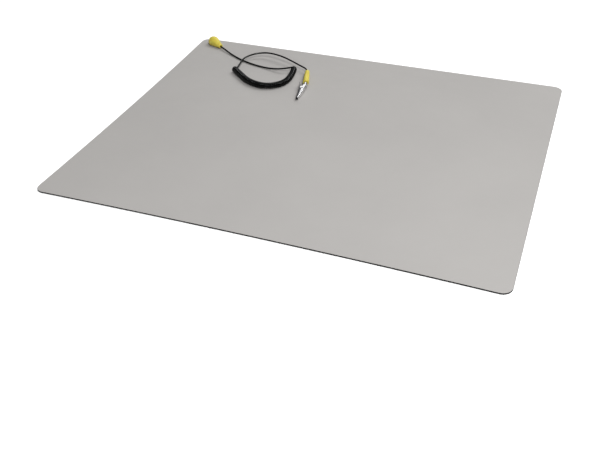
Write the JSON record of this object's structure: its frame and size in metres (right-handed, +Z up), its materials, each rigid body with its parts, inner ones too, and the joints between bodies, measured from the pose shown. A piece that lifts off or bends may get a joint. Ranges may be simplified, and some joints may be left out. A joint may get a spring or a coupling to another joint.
{
  "type": "electrostatic bench mat with coiled grounding lead",
  "caption": "Two-layer static-dissipative bench mat with a snap stud at one corner, joined to a curly grounding lead that ends in a plug and alligator clip.",
  "frame": {"origin": "middle of the mat's underside", "axes": "+X along the mat's long side, +Y from the front edge to the edge with the snap stud's corner, +Z up"},
  "size_m": [0.6, 0.5, 0.0154],
  "materials": {
    "mat_grey_rubber": "matte, fine embossed grain, light warm grey",
    "mat_black_rubber": "matte black conductive layer",
    "yellow_plastic": "semi-gloss moulded vinyl",
    "cord_jacket": "semi-gloss black polyurethane jacket",
    "nickel": "polished nickel plate",
    "clip_steel": "bright nickel-plated sheet steel",
    "clip_dark_steel": "blackened sheet steel",
    "spring_steel": "plain spring wire",
    "brass": "plain stamped brass",
    "resistor_body": "lacquered",
    "tinned_wire": "tinned copper"
  },
  "bodies": {
    "mat": {"mat_base_layer": "mat_black_rubber", "mat_top_layer": "mat_grey_rubber", "mat_stud": "nickel", "mat_rivet": "nickel"},
    "snap_ring": {"snap_spring": "spring_steel"},
    "lead": {"snap_housing": "yellow_plastic", "snap_socket": "nickel", "snap_eyelet": "brass", "snap_terminal": "brass", "snap_resistor": "resistor_body", "resistor_lead": "tinned_wire", "snap_wire_end": "tinned_wire", "cord_snap_tail": "cord_jacket", "cord_coil": "cord_jacket", "cord_plug_tail": "cord_jacket", "plug_handle": "yellow_plastic", "plug_pin": "nickel", "plug_leaves": "spring_steel", "plug_wire_end": "tinned_wire"},
    "clip": {"clip_fixed_jaw": "clip_steel", "clip_rivet": "clip_steel", "clip_spring": "spring_steel"},
    "jaw": {"clip_moving_jaw": "clip_dark_steel"}
  },
  "joints": [
    {"name": "snap_pull_off", "type": "slide", "parent": "mat", "child": "snap_ring", "axis": [0, 0, 1], "range_m": [0, 0.012], "deforming": ["snap_spring"]},
    {"name": "snap_swivel", "type": "hinge", "parent": "snap_ring", "child": "lead", "pos_m": [-0.2755, 0.232, 0.0039], "axis": [0, 0, 1], "continuous": true},
    {"name": "clip_pull_off", "type": "slide", "parent": "lead", "child": "clip", "axis": [0.2754, -0.9603, -0.0436], "range_m": [0, 0.018]},
    {"name": "clip_jaw", "type": "hinge", "parent": "clip", "child": "jaw", "pos_m": [-0.06977, 0.11307, 0.00671], "axis": [-0.012, 0.0419, -0.999], "range_deg": [0, 16], "stiffness_Nm_per_rad": 0.1, "springref_deg": -34.38, "deforming": ["clip_spring"]}
  ]
}
